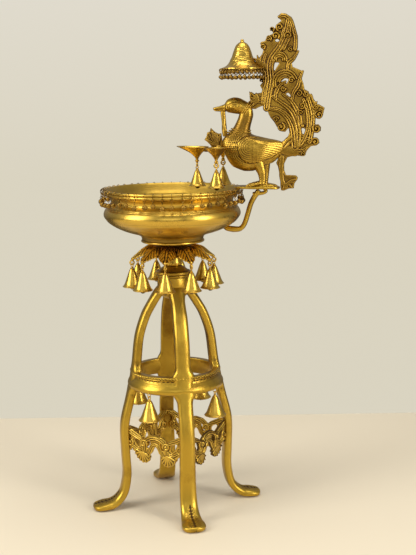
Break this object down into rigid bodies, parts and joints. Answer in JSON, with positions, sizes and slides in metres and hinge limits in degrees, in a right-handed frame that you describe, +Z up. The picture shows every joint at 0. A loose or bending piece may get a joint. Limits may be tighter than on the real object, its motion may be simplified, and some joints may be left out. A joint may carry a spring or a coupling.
{
  "type": "standing oil lamp",
  "caption": "Four-legged brass stand with a ring of bells, a wide water bowl and a perched bird that holds wick cups under a canopy and a scrolled plume.",
  "frame": {"origin": "middle of the bounding box at floor level; the stand's axis is 50.1 mm towards -X", "axes": "+Z up along the stand, +X towards the bird's plume, so the bird looks along -X across the bowl"},
  "size_m": [0.348, 0.2478, 0.7332],
  "materials": {
    "gold": "polished cast brass, warm gold",
    "aged": "aged brass with brown in the recesses"
  },
  "bodies": {
    "stand": {"band_ring": "gold", "bell_crown": "aged", "centre_nut": "gold", "centre_stud": "gold", "fret_front": "aged", "fret_left": "aged", "fret_rear": "aged", "fret_right": "aged", "leg_front": "gold", "leg_hub": "gold", "leg_left": "gold", "leg_rear": "gold", "leg_right": "gold"},
    "bowl_and_perch": {"bowl": "gold", "rim_ghungroos": "gold", "shelf": "gold", "shelf_strut": "gold", "bird_body": "aged", "plume": "aged", "canopy": "gold", "canopy_ghungroos": "gold", "beak_rod": "gold", "lamp_leaf": "gold", "lamp_cup_left": "gold", "lamp_cup_front": "gold", "lamp_cup_back": "gold"},
    "bell_crown_0": {"bell_crown_0": "gold"},
    "clapper_crown_0": {"clapper_crown_0": "gold"},
    "bell_crown_1": {"bell_crown_1": "gold"},
    "clapper_crown_1": {"clapper_crown_1": "gold"},
    "bell_crown_2": {"bell_crown_2": "gold"},
    "clapper_crown_2": {"clapper_crown_2": "gold"},
    "bell_crown_3": {"bell_crown_3": "gold"},
    "clapper_crown_3": {"clapper_crown_3": "gold"},
    "bell_crown_4": {"bell_crown_4": "gold"},
    "clapper_crown_4": {"clapper_crown_4": "gold"},
    "bell_crown_5": {"bell_crown_5": "gold"},
    "clapper_crown_5": {"clapper_crown_5": "gold"},
    "bell_crown_6": {"bell_crown_6": "gold"},
    "clapper_crown_6": {"clapper_crown_6": "gold"},
    "bell_crown_7": {"bell_crown_7": "gold"},
    "clapper_crown_7": {"clapper_crown_7": "gold"},
    "bell_crown_8": {"bell_crown_8": "gold"},
    "clapper_crown_8": {"clapper_crown_8": "gold"},
    "bell_crown_9": {"bell_crown_9": "gold"},
    "clapper_crown_9": {"clapper_crown_9": "gold"},
    "bell_bay_front": {"bell_bay_front": "gold"},
    "clapper_bay_front": {"clapper_bay_front": "gold"},
    "bell_bay_right": {"bell_bay_right": "gold"},
    "clapper_bay_right": {"clapper_bay_right": "gold"},
    "bell_bay_rear": {"bell_bay_rear": "gold"},
    "clapper_bay_rear": {"clapper_bay_rear": "gold"},
    "bell_bay_left": {"bell_bay_left": "gold"},
    "clapper_bay_left": {"clapper_bay_left": "gold"},
    "bell_lamp_left": {"bell_lamp_left": "gold"},
    "clapper_lamp_left": {"clapper_lamp_left": "gold"},
    "bell_lamp_front": {"bell_lamp_front": "gold"},
    "clapper_lamp_front": {"clapper_lamp_front": "gold"},
    "bell_lamp_back": {"bell_lamp_back": "gold"},
    "clapper_lamp_back": {"clapper_lamp_back": "gold"}
  },
  "joints": [
    {"name": "bowl_turn", "type": "hinge", "parent": "stand", "child": "bowl_and_perch", "pos_m": [-0.05005, 0, 0.40469], "axis": [0, 0, 1], "continuous": true},
    {"name": "crown_0_swing", "type": "hinge", "parent": "stand", "child": "bell_crown_0", "pos_m": [-0.05005, -0.0615, 0.37611], "axis": [-1, 0, 0], "range_deg": [-12, 30]},
    {"name": "crown_0_clapper", "type": "hinge", "parent": "bell_crown_0", "child": "clapper_crown_0", "pos_m": [-0.05005, -0.0615, 0.3596], "axis": [-1, 0, 0], "range_deg": [-17, 17]},
    {"name": "crown_1_swing", "type": "hinge", "parent": "stand", "child": "bell_crown_1", "pos_m": [-0.0139, -0.04976, 0.37611], "axis": [-0.809, -0.5878, 0], "range_deg": [-12, 30]},
    {"name": "crown_1_clapper", "type": "hinge", "parent": "bell_crown_1", "child": "clapper_crown_1", "pos_m": [-0.0139, -0.04976, 0.3596], "axis": [-0.809, -0.5878, 0], "range_deg": [-17, 17]},
    {"name": "crown_2_swing", "type": "hinge", "parent": "stand", "child": "bell_crown_2", "pos_m": [0.00844, -0.01901, 0.37611], "axis": [-0.309, -0.9511, 0], "range_deg": [-12, 30]},
    {"name": "crown_2_clapper", "type": "hinge", "parent": "bell_crown_2", "child": "clapper_crown_2", "pos_m": [0.00844, -0.01901, 0.3596], "axis": [-0.309, -0.9511, 0], "range_deg": [-17, 17]},
    {"name": "crown_3_swing", "type": "hinge", "parent": "stand", "child": "bell_crown_3", "pos_m": [0.00844, 0.01901, 0.37611], "axis": [0.309, -0.9511, 0], "range_deg": [-12, 30]},
    {"name": "crown_3_clapper", "type": "hinge", "parent": "bell_crown_3", "child": "clapper_crown_3", "pos_m": [0.00844, 0.01901, 0.3596], "axis": [0.309, -0.9511, 0], "range_deg": [-17, 17]},
    {"name": "crown_4_swing", "type": "hinge", "parent": "stand", "child": "bell_crown_4", "pos_m": [-0.0139, 0.04976, 0.37611], "axis": [0.809, -0.5878, 0], "range_deg": [-12, 30]},
    {"name": "crown_4_clapper", "type": "hinge", "parent": "bell_crown_4", "child": "clapper_crown_4", "pos_m": [-0.0139, 0.04976, 0.3596], "axis": [0.809, -0.5878, 0], "range_deg": [-17, 17]},
    {"name": "crown_5_swing", "type": "hinge", "parent": "stand", "child": "bell_crown_5", "pos_m": [-0.05005, 0.0615, 0.37611], "axis": [1, 0, 0], "range_deg": [-12, 30]},
    {"name": "crown_5_clapper", "type": "hinge", "parent": "bell_crown_5", "child": "clapper_crown_5", "pos_m": [-0.05005, 0.0615, 0.3596], "axis": [1, 0, 0], "range_deg": [-17, 17]},
    {"name": "crown_6_swing", "type": "hinge", "parent": "stand", "child": "bell_crown_6", "pos_m": [-0.0862, 0.04976, 0.37611], "axis": [0.809, 0.5878, 0], "range_deg": [-12, 30]},
    {"name": "crown_6_clapper", "type": "hinge", "parent": "bell_crown_6", "child": "clapper_crown_6", "pos_m": [-0.0862, 0.04976, 0.3596], "axis": [0.809, 0.5878, 0], "range_deg": [-17, 17]},
    {"name": "crown_7_swing", "type": "hinge", "parent": "stand", "child": "bell_crown_7", "pos_m": [-0.10854, 0.01901, 0.37611], "axis": [0.309, 0.9511, 0], "range_deg": [-12, 30]},
    {"name": "crown_7_clapper", "type": "hinge", "parent": "bell_crown_7", "child": "clapper_crown_7", "pos_m": [-0.10854, 0.01901, 0.3596], "axis": [0.309, 0.9511, 0], "range_deg": [-17, 17]},
    {"name": "crown_8_swing", "type": "hinge", "parent": "stand", "child": "bell_crown_8", "pos_m": [-0.10854, -0.01901, 0.37611], "axis": [-0.309, 0.9511, 0], "range_deg": [-12, 30]},
    {"name": "crown_8_clapper", "type": "hinge", "parent": "bell_crown_8", "child": "clapper_crown_8", "pos_m": [-0.10854, -0.01901, 0.3596], "axis": [-0.309, 0.9511, 0], "range_deg": [-17, 17]},
    {"name": "crown_9_swing", "type": "hinge", "parent": "stand", "child": "bell_crown_9", "pos_m": [-0.0862, -0.04976, 0.37611], "axis": [-0.809, 0.5878, 0], "range_deg": [-12, 30]},
    {"name": "crown_9_clapper", "type": "hinge", "parent": "bell_crown_9", "child": "clapper_crown_9", "pos_m": [-0.0862, -0.04976, 0.3596], "axis": [-0.809, 0.5878, 0], "range_deg": [-17, 17]},
    {"name": "bay_front_swing", "type": "hinge", "parent": "stand", "child": "bell_bay_front", "pos_m": [0.01456, -0.02716, 0.19189], "axis": [0.9219, -0.3875, 0], "range_deg": [-24, 24]},
    {"name": "bay_front_clapper", "type": "hinge", "parent": "bell_bay_front", "child": "clapper_bay_front", "pos_m": [0.01456, -0.02716, 0.16965], "axis": [0.9219, -0.3875, 0], "range_deg": [-17, 17]},
    {"name": "bay_right_swing", "type": "hinge", "parent": "stand", "child": "bell_bay_right", "pos_m": [-0.02289, 0.06461, 0.19189], "axis": [0.3875, 0.9219, 0], "range_deg": [-24, 24]},
    {"name": "bay_right_clapper", "type": "hinge", "parent": "bell_bay_right", "child": "clapper_bay_right", "pos_m": [-0.02289, 0.06461, 0.16965], "axis": [0.3875, 0.9219, 0], "range_deg": [-17, 17]},
    {"name": "bay_rear_swing", "type": "hinge", "parent": "stand", "child": "bell_bay_rear", "pos_m": [-0.11466, 0.02716, 0.19189], "axis": [-0.9219, 0.3875, 0], "range_deg": [-24, 24]},
    {"name": "bay_rear_clapper", "type": "hinge", "parent": "bell_bay_rear", "child": "clapper_bay_rear", "pos_m": [-0.11466, 0.02716, 0.16965], "axis": [-0.9219, 0.3875, 0], "range_deg": [-17, 17]},
    {"name": "bay_left_swing", "type": "hinge", "parent": "stand", "child": "bell_bay_left", "pos_m": [-0.07721, -0.06461, 0.19189], "axis": [-0.3875, -0.9219, 0], "range_deg": [-24, 24]},
    {"name": "bay_left_clapper", "type": "hinge", "parent": "bell_bay_left", "child": "clapper_bay_left", "pos_m": [-0.07721, -0.06461, 0.16965], "axis": [-0.3875, -0.9219, 0], "range_deg": [-17, 17]},
    {"name": "lamp_left_swing", "type": "hinge", "parent": "bowl_and_perch", "child": "bell_lamp_left", "pos_m": [-0.01155, 0, 0.52031], "axis": [0, 1, 0], "range_deg": [-16, 26]},
    {"name": "lamp_left_clapper", "type": "hinge", "parent": "bell_lamp_left", "child": "clapper_lamp_left", "pos_m": [-0.01155, 0, 0.50508], "axis": [0, 1, 0], "range_deg": [-17, 17]},
    {"name": "lamp_front_swing", "type": "hinge", "parent": "bowl_and_perch", "child": "bell_lamp_front", "pos_m": [0.02195, -0.0335, 0.52031], "axis": [-1, 0, 0], "range_deg": [-16, 26]},
    {"name": "lamp_front_clapper", "type": "hinge", "parent": "bell_lamp_front", "child": "clapper_lamp_front", "pos_m": [0.02195, -0.0335, 0.50508], "axis": [-1, 0, 0], "range_deg": [-17, 17]},
    {"name": "lamp_back_swing", "type": "hinge", "parent": "bowl_and_perch", "child": "bell_lamp_back", "pos_m": [0.02195, 0.0335, 0.52031], "axis": [1, 0, 0], "range_deg": [-16, 26]},
    {"name": "lamp_back_clapper", "type": "hinge", "parent": "bell_lamp_back", "child": "clapper_lamp_back", "pos_m": [0.02195, 0.0335, 0.50508], "axis": [1, 0, 0], "range_deg": [-17, 17]}
  ]
}
